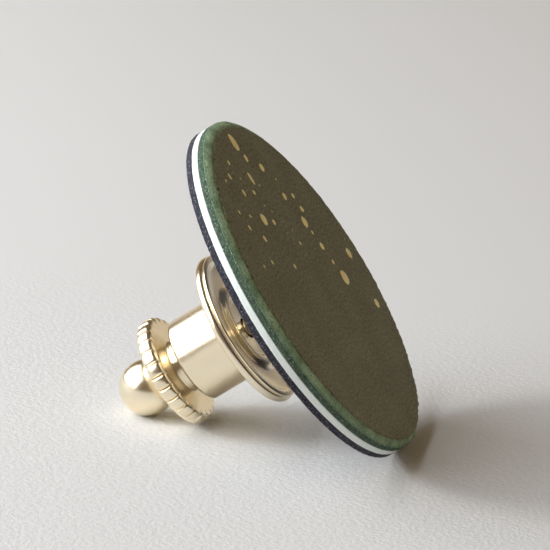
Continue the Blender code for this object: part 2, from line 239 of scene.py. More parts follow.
def settle(obj, material, offset=0.0, smoothAngle=35):
    # Lays the finished piece over onto its line, and leaves its object at the origin.
    selectOnly(obj)
    bpy.ops.object.shade_smooth_by_angle(angle=math.radians(smoothAngle))
    obj.rotation_euler = (0, leanTurn, 0)
    obj.location = faceCentre + downFace * offset
    bpy.ops.object.transform_apply(location=True, rotation=True, scale=True)
    obj.data.materials.clear()
    obj.data.materials.append(material)


# Shader helpers.

def addNode(tree, kind, values=None, **settings):
    node = tree.nodes.new(kind)
    for key, value in settings.items():
        setattr(node, key, value)
    for key, value in (values or {}).items():
        if isinstance(value, bpy.types.NodeSocket):
            tree.links.new(value, node.inputs[key])
        else:
            node.inputs[key].default_value = value
    return node


def mathNode(tree, operation, first, second=0.0, clamp=False):
    values = {0: first, 1: second}
    return addNode(tree, "ShaderNodeMath", values, operation=operation, use_clamp=clamp).outputs[0]


def mixColour(tree, factor, first, second):
    node = addNode(tree, "ShaderNodeMix", {0: factor}, data_type="RGBA")
    for index, value in ((6, first), (7, second)):
        if isinstance(value, bpy.types.NodeSocket):
            tree.links.new(value, node.inputs[index])
        else:
            node.inputs[index].default_value = (*value, 1.0)
    return node.outputs[2]


def spread(tree, value, low, high, toLow=0.0, toHigh=1.0, smooth=False):
    values = {0: value, 1: low, 2: high, 3: toLow, 4: toHigh}
    kind = "SMOOTHSTEP" if smooth else "LINEAR"
    return addNode(tree, "ShaderNodeMapRange", values, interpolation_type=kind).outputs[0]


def noise(tree, vector, scale, detail=3.0, roughness=0.55):
    values = {"Vector": vector, "Scale": scale, "Detail": detail, "Roughness": roughness}
    return addNode(tree, "ShaderNodeTexNoise", values).outputs[0]


def stretched(tree, vector, factors):
    values = {0: vector, 1: factors}
    return addNode(tree, "ShaderNodeVectorMath", values, operation="MULTIPLY").outputs[0]


def tintWhere(tree, mask, share, base, colour):
    return mixColour(tree, mathNode(tree, "MULTIPLY", mask, share), base, colour)


def newGroup(name, entries, exits):
    tree = bpy.data.node_groups.new(name, "ShaderNodeTree")
    for label, kind, default in entries:
        socket = tree.interface.new_socket(name=label, in_out="INPUT", socket_type=kind)
        if default is not None:
            socket.default_value = default
    for label in exits:
        tree.interface.new_socket(name=label, in_out="OUTPUT", socket_type="NodeSocketFloat")
    return tree, tree.nodes.new("NodeGroupInput").outputs, tree.nodes.new("NodeGroupOutput").inputs


def placeGroup(tree, group, values):
    return addNode(tree, "ShaderNodeGroup", values, node_tree=group).outputs


floatSocket, vectorSocket = "NodeSocketFloat", "NodeSocketVector"
noiseSpan = (0.3, 0.7)  # nearly all of a noise lies between these


def makeGrainGroup():
    # Even grain at one size, with slow clouds over it.
    tree, entry, leave = newGroup(
        "surfaceGrain",
        [("Vector", vectorSocket, None), ("Grain", floatSocket, 6.0), ("Cloud", floatSocket, 0.3)],
        ["Grain", "Cloud"],
    )
    fine = noise(tree, entry["Vector"], entry["Grain"], 5.0, 0.62)
    slow = noise(tree, entry["Vector"], entry["Cloud"], 2.0, 0.5)
    tree.links.new(spread(tree, fine, *noiseSpan), leave["Grain"])
    tree.links.new(spread(tree, slow, *noiseSpan), leave["Cloud"])
    return tree


def makeFibreGroup():
    # Cut paper fibres: flecks that are long in the board's plane and thin through it.
    tree, entry, leave = newGroup(
        "cutFibres",
        [
            ("Vector", vectorSocket, None),
            ("Density", floatSocket, 0.5),
            ("Scale", floatSocket, 5.0),
        ],
        ["Mask", "Height"],
    )
    flattening, knotPull = 2.2, 0.28
    sparseLevel, densityPull, softness = 0.62, 0.25, 0.09
    thin = stretched(tree, entry["Vector"], (1.0, 1.0, flattening))
    strands = noise(tree, thin, entry["Scale"], 4.0, 0.7)
    knots = addNode(
        tree, "ShaderNodeTexVoronoi", {"Vector": thin, "Scale": entry["Scale"]}
    ).outputs[0]
    lifted = mathNode(tree, "SUBTRACT", strands, mathNode(tree, "MULTIPLY", knots, knotPull))
    lowered = mathNode(tree, "MULTIPLY", entry["Density"], densityPull)
    over = mathNode(tree, "SUBTRACT", lifted, mathNode(tree, "SUBTRACT", sparseLevel, lowered))
    tree.links.new(spread(tree, over, 0.0, softness, smooth=True), leave["Mask"])
    tree.links.new(strands, leave["Height"])
    return tree


def makeCutEdgeGroup():
    # 1 on the badge's cut edge and 0 on a board's flat side; Vector is in millimetres.
    tree, entry, leave = newGroup(
        "cutEdge", [("Vector", vectorSocket, None), ("Radius", floatSocket, badgeRadius)], ["Edge"]
    )
    flat = stretched(tree, entry["Vector"], (1.0, 1.0, 0.0))
    length = addNode(tree, "ShaderNodeVectorMath", {0: flat}, operation="LENGTH").outputs["Value"]
    inside = mathNode(tree, "SUBTRACT", entry["Radius"], length)
    full, gone = 0.10, 0.30  # depths below the rim
    tree.links.new(spread(tree, inside, full, gone, 1.0, 0.0, smooth=True), leave["Edge"])
    return tree


def makeHandlingGroup():
    # What fingers and a polishing wheel leave on metal: smears, hairlines and tiny pits.
    tree, entry, leave = newGroup(
        "metalHandling",
        [("Vector", vectorSocket, None), ("Smear", floatSocket, 0.5), ("Hair", floatSocket, 1.0)],
        ["Smear", "Hairlines", "Pits"],
    )
    polishedAlong, pitScale, pitReach = (9.0, 1.4, 2.0), 2.6, 0.06
    smear = noise(tree, entry["Vector"], entry["Smear"], 4.0, 0.6)
    along = stretched(tree, entry["Vector"], polishedAlong)
    hair = noise(tree, along, entry["Hair"], 6.0, 0.75)
    cells = addNode(
        tree, "ShaderNodeTexVoronoi", {"Vector": entry["Vector"], "Scale": pitScale}
    ).outputs[0]
    tree.links.new(spread(tree, smear, 0.35, 0.7, smooth=True), leave["Smear"])
    tree.links.new(hair, leave["Hairlines"])
    tree.links.new(spread(tree, cells, 0.0, pitReach, 1.0, 0.0), leave["Pits"])
    return tree


def makeDustGroup():
    # Sparse specks, each with a full core and a soft border.
    tree, entry, leave = newGroup(
        "dustSpecks",
        [
            ("Vector", vectorSocket, None),
            ("Scale", floatSocket, 3.0),
            ("Amount", floatSocket, 0.1),
            ("Reach", floatSocket, 0.16),
        ],
        ["Mask"],
    )
    cells = addNode(
        tree, "ShaderNodeTexVoronoi", {"Vector": entry["Vector"], "Scale": entry["Scale"]}
    )
    chosen = mathNode(
        tree,
        "LESS_THAN",
        addNode(tree, "ShaderNodeSeparateColor", {0: cells.outputs["Color"]}).outputs[0],
        entry["Amount"],
    )
    coreShare = 0.4
    core = mathNode(tree, "MULTIPLY", entry["Reach"], coreShare)
    speck = spread(tree, cells.outputs["Distance"], core, entry["Reach"], 1.0, 0.0)
    tree.links.new(mathNode(tree, "MULTIPLY", chosen, speck, True), leave["Mask"])
    return tree


grainGroup = makeGrainGroup()
fibreGroup = makeFibreGroup()
cutEdgeGroup = makeCutEdgeGroup()
handlingGroup = makeHandlingGroup()
dustGroup = makeDustGroup()


def placeGrain(tree, place, look):
    values = {"Vector": place, "Grain": look["grain"], "Cloud": look["cloud"]}
    return placeGroup(tree, grainGroup, values)


def newMaterial(name, offset=0.0, **constants):
    # Returns the material, its tree, its shader, and Object coordinates in millimetres on the
    # piece's own axis.
    material = bpy.data.materials.new(name)
    material.use_nodes = True
    tree = material.node_tree
    shader = tree.nodes["Principled BSDF"]
    for socket, value in constants.items():
        shader.inputs[socket.replace("_", " ")].default_value = value
    coordinates = addNode(tree, "ShaderNodeTexCoord").outputs["Object"]
    mapping = addNode(tree, "ShaderNodeMapping", {"Vector": coordinates}, vector_type="TEXTURE")
    mapping.inputs["Location"].default_value = faceCentre + downFace * offset
    mapping.inputs["Rotation"].default_value = (0, leanTurn, 0)
    mapping.inputs["Scale"].default_value = (mm, mm, mm)
    return material, tree, shader, mapping.outputs[0]


def setSurface(tree, shader, colour, rough):
    tree.links.new(colour, shader.inputs["Base Color"])
    tree.links.new(rough, shader.inputs["Roughness"])


def setBump(tree, shader, height, strength, distance):
    values = {"Height": height, "Strength": strength, "Distance": distance * mm}
    bump = addNode(tree, "ShaderNodeBump", values)
    tree.links.new(bump.outputs[0], shader.inputs["Normal"])


olivePrint = {
    "shade": (0.192, 0.184, 0.090),
    "tone": (0.246, 0.244, 0.127),
    # The tip colour is a painted highlight on the raised tips of the grain.
    "tip": (0.50, 0.47, 0.32),
    "tipHighlightShare": 0.55,
    "tipHighlightRange": (0.55, 1.0),
    # The pit colour is painted shade in the low spots of the grain.
    "pitShade": (0.050, 0.043, 0.019),
    "pitShadeShare": 0.8,
    "pitShadeRange": (0.45, 0.0),
    "dust": (0.42, 0.40, 0.33),
    "dustShare": 0.35,
    "dustScale": 2.4,
    "dustAmount": 0.05,
    "grain": 5.0,
    "cloud": 0.28,
    "bump": 1.0,
    "relief": 0.07,
    "roughLow": 0.46,
    "roughHigh": 0.66,
}


def makeOlivePrint(look):
    material, tree, shader, place = newMaterial("olivePrint", Specular_IOR_Level=0.3)
    grain = placeGrain(tree, place, look)
    # Painted highlight: the raised tips of the grain, which also shapes the bump, are made paler.
    tipHighlights = spread(tree, grain["Grain"], *look["tipHighlightRange"])
    # Painted shade: the low spots of the grain, the hollows of the bump, are darkened.
    pitShadeMask = spread(tree, grain["Grain"], *look["pitShadeRange"])
    values = {"Vector": place, "Scale": look["dustScale"], "Amount": look["dustAmount"]}
    dust = placeGroup(tree, dustGroup, values)["Mask"]
    base = mixColour(tree, grain["Cloud"], look["shade"], look["tone"])
    base = tintWhere(tree, tipHighlights, look["tipHighlightShare"], base, look["tip"])
    base = tintWhere(tree, pitShadeMask, look["pitShadeShare"], base, look["pitShade"])
    base = tintWhere(tree, dust, look["dustShare"], base, look["dust"])
    rough = spread(tree, grain["Grain"], 0.0, 1.0, look["roughHigh"], look["roughLow"])
    setSurface(tree, shader, base, rough)
    setBump(tree, shader, grain["Grain"], look["bump"], look["relief"])
    return material


goldInk = {
    "dark": (0.92, 0.74, 0.24), "light": (1.0, 0.88, 0.36), "glint": 0.3, "grain": 9.0,
    "cloud": 1.1, "rough": (0.30, 0.45), "metallic": (0.25, 0.45), "bump": 0.4, "relief": 0.02,
}


def makeGoldInk(look):
    material, tree, shader, place = newMaterial("goldInk", Specular_IOR_Level=0.5)
    grain = placeGrain(tree, place, look)
    base = mixColour(tree, grain["Cloud"], look["dark"], look["light"])
    base = tintWhere(tree, grain["Grain"], look["glint"], base, look["light"])
    setSurface(tree, shader, base, spread(tree, grain["Grain"], 0, 1, *look["rough"]))
    metallic = spread(tree, grain["Cloud"], 0, 1, *look["metallic"])
    tree.links.new(metallic, shader.inputs["Metallic"])
    setBump(tree, shader, grain["Grain"], look["bump"], look["relief"])
    return material


# What the four boards share: how their specks, roughness and surface vary. In boardLooks the darkest
# colour is painted shade, laid over the low spots of the grain that also raises the bump, and rimTone is laid over
# what lies near the rimRadius.
boardGrain = {
    "speckScale": 6.5, "speckReach": 0.32, "specksOnFlat": 0.2, "specksOnCut": 0.7,
    "roughVary": 0.08, "grainHeight": 0.5,
}


def makeBoardMaterial(name, look):
    # Cut board: a matt body, paler fibres, painted shade in the grain's low spots and a few specks.
    material, tree, shader, place = newMaterial(name, Specular_IOR_Level=0.3)
    grain = placeGrain(tree, place, look)
    edge = placeGroup(tree, cutEdgeGroup, {"Vector": place, "Radius": badgeRadius})["Edge"]
    rim = placeGroup(tree, cutEdgeGroup, {"Vector": place, "Radius": look["rimRadius"]})["Edge"]
    density = spread(tree, edge, 0.0, 1.0, look["flatDensity"], look["density"])
    fibres = placeGroup(
        tree, fibreGroup, {"Vector": place, "Density": density, "Scale": look["fibreScale"]}
    )
    specks = placeGroup(tree, dustGroup, {
        "Vector": place, "Scale": boardGrain["speckScale"], "Amount": look["specks"],
        "Reach": boardGrain["speckReach"],
    })["Mask"]
    onFlat, onCut = boardGrain["specksOnFlat"], boardGrain["specksOnCut"]
    speckShare = spread(tree, edge, 0.0, 1.0, onFlat, onCut)
    # Painted shade: a dark colour laid where the grain, which also shapes the bump, is low.
    gapShadeMask = spread(tree, grain["Grain"], 0.0, 0.5, look["gapShade"], 0.0)
    base = mixColour(tree, grain["Cloud"], look["shade"], look["tone"])
    base = mixColour(tree, rim, base, look["rimTone"])
    base = mixColour(tree, gapShadeMask, base, look["gapShadeColour"])
    base = tintWhere(tree, fibres["Mask"], look["fibre"], base, look["pale"])
    base = tintWhere(tree, specks, speckShare, base, look["pale"])
    vary = boardGrain["roughVary"]
    rough = spread(tree, grain["Grain"], 0.0, 1.0, look["rough"] + vary, look["rough"] - vary)
    setSurface(tree, shader, base, rough)
    raised = mathNode(tree, "MULTIPLY", grain["Grain"], boardGrain["grainHeight"])
    height = mathNode(tree, "ADD", fibres["Height"], raised)
    setBump(tree, shader, height, look["bump"], look["relief"])
    return material


boardLooks = {
    "lightGreen": {
        "shade": (0.17, 0.27, 0.155), "tone": (0.42, 0.58, 0.36), "gapShadeColour": (0.06, 0.12, 0.065),
        "pale": (0.74, 0.86, 0.66), "grain": 6.0, "cloud": 0.7, "density": 0.62,
        "flatDensity": 0.62, "fibre": 0.6, "fibreScale": 7.0, "gapShade": 0.8, "rough": 0.62,
        "bump": 0.9, "relief": 0.06, "specks": 0.30,
        "rimTone": (0.10, 0.175, 0.105), "rimRadius": badgeRadius + 0.14,
    },
    "darkGreen": {
        "shade": (0.034, 0.064, 0.042), "tone": (0.080, 0.130, 0.084),
        "gapShadeColour": (0.005, 0.013, 0.008), "pale": (0.46, 0.58, 0.44), "grain": 6.5, "cloud": 0.9,
        "density": 0.72, "flatDensity": 0.45, "fibre": 0.6, "fibreScale": 8.0, "gapShade": 0.95,
        "rough": 0.76, "bump": 1.0, "relief": 0.08, "specks": 0.50,
        "rimTone": (0.062, 0.104, 0.066), "rimRadius": badgeRadius,
    },
    "white": {
        "shade": (0.80, 0.87, 0.83), "tone": (0.87, 0.93, 0.90), "gapShadeColour": (0.62, 0.68, 0.61),
        "pale": (0.95, 0.97, 0.95), "grain": 6.0, "cloud": 0.35, "density": 0.35,
        "flatDensity": 0.3, "fibre": 0.5, "fibreScale": 7.0, "gapShade": 0.25, "rough": 0.72,
        "bump": 0.35, "relief": 0.03, "specks": 0.0,
        "rimTone": (0.84, 0.90, 0.87), "rimRadius": badgeRadius,
    },
    "navy": {
        "shade": (0.015, 0.015, 0.026), "tone": (0.042, 0.042, 0.064),
        "gapShadeColour": (0.003, 0.003, 0.006), "pale": (0.44, 0.44, 0.50), "grain": 6.5, "cloud": 0.8,
        "density": 0.68, "flatDensity": 0.45, "fibre": 0.55, "fibreScale": 8.0, "gapShade": 0.85,
        "rough": 0.74, "bump": 1.0, "relief": 0.08, "specks": 0.46,
        "rimTone": (0.036, 0.036, 0.054), "rimRadius": badgeRadius,
    },
}

# What the metals share: the size of their marks and how much these show.
metalMarks = {
    "smear": 0.45, "hair": 2.2, "grain": 5.0, "cloud": 0.35, "pitTint": 0.15, "pitRough": 0.04,
    "relief": 0.01,
}
brassLook = {
    "bright": (0.97, 0.87, 0.67), "warm": (0.86, 0.68, 0.40),
    "roughLow": 0.23, "roughHigh": 0.27, "tarnish": 0.22, "bump": 0.025,
}
steelLook = {
    "bright": (0.66, 0.66, 0.67), "warm": (0.50, 0.49, 0.47),
    "roughLow": 0.16, "roughHigh": 0.30, "tarnish": 0.5, "bump": 0.1,
}
brazeLook = {
    "bright": (0.74, 0.72, 0.68), "warm": (0.52, 0.42, 0.30),
    "roughLow": 0.30, "roughHigh": 0.52, "tarnish": 0.8, "bump": 0.5,
}


def makeMetal(name, look):
    material, tree, shader, place = newMaterial(name, postOffset, Metallic=1.0)
    values = {"Vector": place, "Smear": metalMarks["smear"], "Hair": metalMarks["hair"]}
    marks = placeGroup(tree, handlingGroup, values)
    grain = placeGrain(tree, place, metalMarks)
    base = tintWhere(tree, grain["Cloud"], look["tarnish"], look["bright"], look["warm"])
    base = tintWhere(tree, marks["Pits"], metalMarks["pitTint"], base, look["warm"])
    rough = spread(tree, marks["Smear"], 0, 1, look["roughLow"], look["roughHigh"])
    dulled = mathNode(tree, "MULTIPLY", marks["Pits"], metalMarks["pitRough"])
    setSurface(tree, shader, base, mathNode(tree, "ADD", rough, dulled))
    setBump(tree, shader, marks["Hairlines"], look["bump"], metalMarks["relief"])
    return material


glueLook = {
    "dull": (0.62, 0.60, 0.52), "pale": (0.78, 0.77, 0.71), "grain": 3.0, "cloud": 0.6,
    "rough": (0.22, 0.45), "bump": 0.3, "relief": 0.02,
}


def makeGlue(look):
    material, tree, shader, place = newMaterial("clearGlue", Specular_IOR_Level=0.5)
    grain = placeGrain(tree, place, look)
    base = mixColour(tree, grain["Cloud"], look["dull"], look["pale"])
    setSurface(tree, shader, base, spread(tree, grain["Grain"], 0, 1, *look["rough"]))
    setBump(tree, shader, grain["Grain"], look["bump"], look["relief"])
    return material


oliveMaterial = makeOlivePrint(olivePrint)
goldMaterial = makeGoldInk(goldInk)
boardMaterials = {
    name: makeBoardMaterial(name + "Board", look) for name, look in boardLooks.items()
}
brassMaterial = makeMetal("paleBrass", brassLook)
steelMaterial = makeMetal("lockSteel", steelLook)
brazeMaterial = makeMetal("silverBraze", brazeLook)
glueMaterial = makeGlue(glueLook)
print("materials made")


# Badge: three plain boards, the eased top board and the printed face.

boardSteps = 1080
boards = {
    "darkGreenBoard": {
        "front": 0.46, "back": 0.86, "node": "dark_green_ply", "slot": "dark_green",
        "material": "darkGreen", "wave": 0.03, "tear": 0.10, "corner": 0.03,
    },
    "whiteBoard": {
        "front": 0.87, "back": 1.34, "node": "white_ply", "slot": "white",
        "material": "white", "wave": 0.03, "tear": 0.04, "corner": 0.03,
    },
    "navyBoard": {
        "front": 1.35, "back": 1.79, "node": "navy_ply", "slot": "navy",
        "material": "navy", "wave": 0.03, "tear": 0.09, "corner": 0.04,
    },
}

# A rim wavers slowly, and is torn at the size of the fibres.
rimGrain = {"waveSize": 1.1, "tearSize": 0.12, "tearDepth": 3}
boardCut = {"inset": 0.3, "rows": 5, "roughFrom": 0.15}


def roughenRim(obj, radius, wave, tear):
    groupWhere(obj, "rim", lambda vert: radiusOf(vert) > radius)
    roughen(obj, "rim", rimGrain["waveSize"], wave)
    roughen(obj, "rim", rimGrain["tearSize"], tear, rimGrain["tearDepth"])


def makeBoard(name, board):
    radius = badgeRadius - roughRoom
    obj = addDisc(name, radius, board["front"], board["back"], boardSteps)
    startEdit(obj, "FACE")
    pick(obj, isFlatSide, "FACE")
    insetBy(boardCut["inset"])
    # Rows through the cut edge, so that it can be rough.
    pick(obj, lambda edge: abs(edge.verts[0].co.z - edge.verts[1].co.z) > 0.1 * mm, "EDGE")
    bpy.ops.mesh.subdivide(number_cuts=boardCut["rows"])
    endEdit()
    for depth in (board["front"], board["back"]):
        roundRing(obj, radius, depth, board["corner"], 2)
    roughenRim(obj, badgeRadius - boardCut["roughFrom"], board["wave"], board["tear"])
    settle(obj, boardMaterials[board["material"]], smoothAngle=60)
    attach(obj, "badge")
    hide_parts(board["node"])


for name, board in boards.items():
    makeBoard(name, board)

topBoard = {
    "front": 0.09, "roundDepth": 0.32, "back": 0.45, "faceRadius": 12.0, "steps": 8,
    "flat": 1.6, "insets": (0.25, 0.5), "roughFrom": 0.1, "wave": 0.03, "tear": 0.07,
}


def makeTopBoard(board):
    # A thin disc at the back, its front drawn up and in step by step round the eased edge.
    edgeWidth = badgeRadius - board["faceRadius"] - roughRoom
    start = board["front"] + board["roundDepth"]
    radius, rise = badgeRadius - roughRoom, 0.0
    obj = addDisc("lightGreenBoard", radius, start, board["back"], boardSteps)
    startEdit(obj, "FACE")
    pick(obj, facesFront, "FACE")
    for step in range(1, board["steps"] + 1):
        angle = math.pi / 2 * step / board["steps"]
        newRadius = board["faceRadius"] + edgeWidth * math.cos(angle) ** board["flat"]
        newRise = board["roundDepth"] * math.sin(angle) ** board["flat"]
        drawUp(newRise - rise, newRadius / radius)
        radius, rise = newRadius, newRise
    insetBy(*board["insets"])
    pick(obj, facesBack, "FACE")
    insetBy(boardCut["inset"])
    endEdit()
    roughenRim(obj, board["faceRadius"] - board["roughFrom"], board["wave"], board["tear"])
    settle(obj, boardMaterials["lightGreen"], smoothAngle=60)
    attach(obj, "badge")
    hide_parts("light_green_ply")


makeTopBoard(topBoard)

# The print sits a little off the board's centre, down the face, and its border is ragged.
facePrint = {
    "radius": 11.95, "front": 0.0, "back": 0.08, "corner": 0.06, "insets": (0.12, 0.4),
    "ragged": 0.45, "raggedSize": 0.22, "raggedFrom": 0.1, "offCentre": 0.12,
}


def makeFace(sheet):
    radius = sheet["radius"] - roughRoom
    obj = addDisc("printedFace", radius, sheet["front"], sheet["back"], boardSteps)
    startEdit(obj, "FACE")
    pick(obj, isFlatSide, "FACE")
    insetBy(*sheet["insets"])
    endEdit()
    roundRing(obj, radius, sheet["front"], sheet["corner"], 2)
    # The print's border is ragged only in its own plane, so the sheet stays flat.
    groupWhere(obj, "rim", lambda vert: radiusOf(vert) > sheet["radius"] - sheet["raggedFrom"])
    roughen(obj, "rim", sheet["raggedSize"], sheet["ragged"], 3, directions=("X", "Y"))
    startEdit(obj)
    bpy.ops.mesh.select_all(action="SELECT")
    bpy.ops.transform.translate(value=(sheet["offCentre"] * mm, 0, 0))
    endEdit()
    settle(obj, oliveMaterial, smoothAngle=50)
    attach(obj, "badge")
    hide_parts("face_sheet")


makeFace(facePrint)

# Drops of gold ink across the upper face: the large ones are placed, the fine spray is seeded.
# A drop is (down the face, across to the far side, length down the face, width across).
goldDrops = {
    "placed": [
        (-10.6, 1.7, 1.30, 0.95), (-9.25, 2.0, 0.55, 0.60), (-7.9, 3.8, 0.60, 0.75),
        (-8.15, 0.4, 0.95, 0.50), (-5.3, 4.5, 0.60, 0.70), (-5.75, -2.3, 0.88, 0.95),
        (-3.0, 5.1, 0.85, 0.95), (1.2, 9.7, 0.80, 0.90), (1.8, 5.7, 1.05, 1.20),
        (5.0, 8.6, 0.65, 0.80), (-3.7, 6.2, 0.50, 0.60), (-0.95, 5.3, 0.55, 0.70),
        (-8.0, -2.7, 0.52, 0.40), (-7.4, -0.8, 0.38, 0.40), (-5.0, -0.8, 0.42, 0.50),
        (-4.95, -4.5, 0.50, 0.42), (-6.3, -5.9, 0.40, 0.34), (-9.5, -3.3, 0.50, 0.40),
        (-4.8, 6.2, 0.40, 0.50), (-3.95, -7.9, 0.26, 0.24), (-3.6, -6.0, 0.34, 0.30),
        (-10.1, -1.8, 0.36, 0.36), (-9.55, -4.5, 0.24, 0.24), (-6.7, -4.4, 0.28, 0.28),
        (-7.55, -5.9, 0.30, 0.26), (-2.0, -2.4, 0.36, 0.34), (0.4, 5.4, 0.34, 0.40),
        (-2.1, 5.2, 0.32, 0.36), (-2.5, 1.5, 0.26, 0.30),
    ],
    "spray": 16,
    "sprayWidth": (0.08, 0.20),
    "sprayFrom": (-9.0, -3.0),
    "sprayTo": (3.5, 8.5),
    "sprayReach": 2.6,
    "faceReach": 11.4,
    "spacing": 0.6,
    "sides": 18,
    "profile": ((0.55, 0.93), (0.35, 0.86), (0.10, 0.80), (-0.12, 0.6)),
    "proud": 0.010,
    "corners": 4,
    "cornerPull": (-0.10, 0.14),
    "cornerSharpness": 0.86,
    "turn": 0.25,
    "seed": 7,
}


def makeGoldDrops(drops):
    dice = random.Random(drops["seed"])
    selectNothing()
    # One drop, a millimetre across: a disc drawn up and in, with a slightly hollow top as
    # dried ink has.
    bpy.ops.mesh.primitive_circle_add(
        vertices=drops["sides"], radius=0.5 * mm, fill_type="NGON"
    )
    pattern = nameNew("dropPattern")
    startEdit(pattern, "FACE")
    bpy.ops.mesh.select_all(action="SELECT")
    for rise, shrink in drops["profile"]:
        drawUp(rise * drops["proud"], shrink)
    weldAll()
    endEdit()

    placed = list(drops["placed"])
    (x0, y0), (x1, y1) = drops["sprayFrom"], drops["sprayTo"]
    narrow, wide = drops["sprayWidth"]
    spacing, sharp = drops["spacing"], drops["cornerSharpness"]
    while len(placed) < len(drops["placed"]) + drops["spray"]:
        share = dice.random()
        x = x0 + (x1 - x0) * share + dice.gauss(0, drops["sprayReach"])
        y = y0 + (y1 - y0) * share + dice.gauss(0, drops["sprayReach"])
        width = narrow + dice.random() ** 2 * (wide - narrow)
        clear = all(math.hypot(x - a, y - b) > (width + c + d) * spacing for a, b, c, d in placed)
        if math.hypot(x, y) < drops["faceReach"] and clear:
            placed.append((x, y, width, width))

    made = []
    for x, y, length, width in placed:
        selectOnly(pattern)
        bpy.ops.object.duplicate()
        drop = bpy.context.object
        startEdit(drop)
        # Pull a few rim corners out, so that no two drops are alike.
        for _ in range(drops["corners"]):
            heading = dice.uniform(0, fullTurn)
            stretch = 1 + dice.uniform(*drops["cornerPull"])
            toward = Vector((math.cos(heading), math.sin(heading)))
            pick(drop, lambda vert: vert.co.xy.normalized().dot(toward) > sharp)
            resizeRing(stretch)
        bpy.ops.mesh.select_all(action="SELECT")
        bpy.ops.transform.resize(value=(length, width, 1), center_override=(0, 0, 0))
        turn = dice.uniform(-drops["turn"], drops["turn"])
        bpy.ops.transform.rotate(value=turn, orient_axis="Z", center_override=(0, 0, 0))
        bpy.ops.transform.translate(value=(x * mm, y * mm, 0))
        endEdit()
        made.append(drop)
    selectNothing()
    bpy.data.objects.remove(pattern, do_unlink=True)
    for drop in made:
        drop.select_set(True)
    bpy.context.view_layer.objects.active = made[0]
    bpy.ops.object.join()
    obj = nameNew("goldDrops")
    settle(obj, goldMaterial, smoothAngle=60)
    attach(obj, "badge")


makeGoldDrops(goldDrops)
print("badge made")


# Tack: pad and post.

backPad = {
    "radius": 4.0, "front": 1.86, "back": 2.31, "backEdge": 0.12, "frontEdge": 0.04,
    "ringRadius": 3.1, "frontInset": 0.4, "steps": 144,
    # Two turned grooves and a fine step: (width, how far it drops).
    "turning": ((0.05, 0.03), (0.10, 0.0), (0.05, -0.03), (0.30, 0.0), (0.05, 0.03),
                (0.08, 0.0), (0.05, -0.03)),
}


def makePad(pad):
    obj = addDisc("backPad", pad["radius"], pad["front"], pad["back"], pad["steps"])
    startEdit(obj, "FACE")
    pick(obj, facesBack, "FACE")
    insetBy(pad["radius"] - pad["ringRadius"])
    for width, drop in pad["turning"]:
        bpy.ops.mesh.inset(thickness=width * mm, depth=-drop * mm)
    pick(obj, facesFront, "FACE")
    insetBy(pad["frontInset"])
    endEdit()
    roundRing(obj, pad["radius"], pad["back"], pad["backEdge"])
    roundRing(obj, pad["radius"], pad["front"], pad["frontEdge"], 2)
    settle(obj, brassMaterial, postOffset)
    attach(obj, "badge")
    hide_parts("tack_pad")


makePad(backPad)

tackPin = {
    "front": 2.32, "radius": 0.6, "neckRadius": 0.5, "neck": (9.32, 9.42, 9.72, 9.82),
    "point": 10.32, "tip": 11.02, "tipRadius": 0.15, "neckRound": 0.04, "pointRound": 0.12,
    "tipRound": 0.09, "steps": 72,
}


def makePin(pin):
    a, b, c, d = pin["neck"]
    outline = [
        (0, pin["front"]), (pin["radius"], pin["front"]), (pin["radius"], a),
        (pin["neckRadius"], b), (pin["neckRadius"], c), (pin["radius"], d),
        (pin["radius"], pin["point"]), (pin["tipRadius"], pin["tip"]), (0, pin["tip"]),
    ]
    obj = turnOutline("tackPin", outline, pin["steps"])
    for radius, depth in outline[2:6]:
        roundRing(obj, radius, depth, pin["neckRound"])
    roundRing(obj, pin["radius"], pin["point"], pin["pointRound"])
    roundRing(obj, pin["tipRadius"], pin["tip"], pin["tipRound"])
    settle(obj, brassMaterial, postOffset)
    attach(obj, "badge")
    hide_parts("tack_post")


makePin(tackPin)
print("tack made")


# Clutch housing: front plate and flanged barrel.

frontPlate = {
    "hole": 0.75, "ringIn": 2.35, "ringOut": 2.85, "slope": 0.35, "lip": 5.02, "radius": 5.44,
    "front": 5.56, "crest": 5.68, "dish": 5.94, "hollow": (4.0, 5.90), "shoulder": (4.72, 5.79),
    "thick": 0.18, "bend": 0.13, "frontEdge": 0.07, "backEdge": 0.05, "steps": 180,
}


def makeFrontPlate(plate):
    front, crest, dish, thick = plate["front"], plate["crest"], plate["dish"], plate["thick"]
    face = [
        (plate["hole"], dish), (plate["ringIn"] - plate["slope"], dish), (plate["ringIn"], crest),
        (plate["ringOut"], crest), (plate["ringOut"] + plate["slope"], dish),
        plate["hollow"], plate["shoulder"], (plate["lip"], front), (plate["radius"], front),
    ]
    back = [(radius, depth + thick) for radius, depth in reversed(face)]
    obj = turnOutline("frontPlate", face + back + face[:1], plate["steps"])
    for radius, depth in face[1:-1]:
        roundRing(obj, radius, depth, plate["bend"], 5)
        roundRing(obj, radius, depth + thick, plate["bend"], 5)
    for radius, depth in (face[0], face[-1]):
        roundRing(obj, radius, depth, plate["frontEdge"], 3)
        roundRing(obj, radius, depth + thick, plate["backEdge"], 3)
    settle(obj, brassMaterial, postOffset)
    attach(obj, "housing")
    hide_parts("clutch_front_plate")


makeFrontPlate(frontPlate)

barrel = {
    "flange": 5.54, "flangeFront": 5.76, "flangeBack": 6.42, "rimRound": 0.31, "seat": 6.16,
    "plateBore": 5.10, "radius": 3.0, "rear": 10.46, "rearRound": 0.26, "fillet": 0.22,
    "bore": 2.65, "wall": 10.11, "stemHole": 1.625, "holeRound": 0.06, "steps": 180,
}


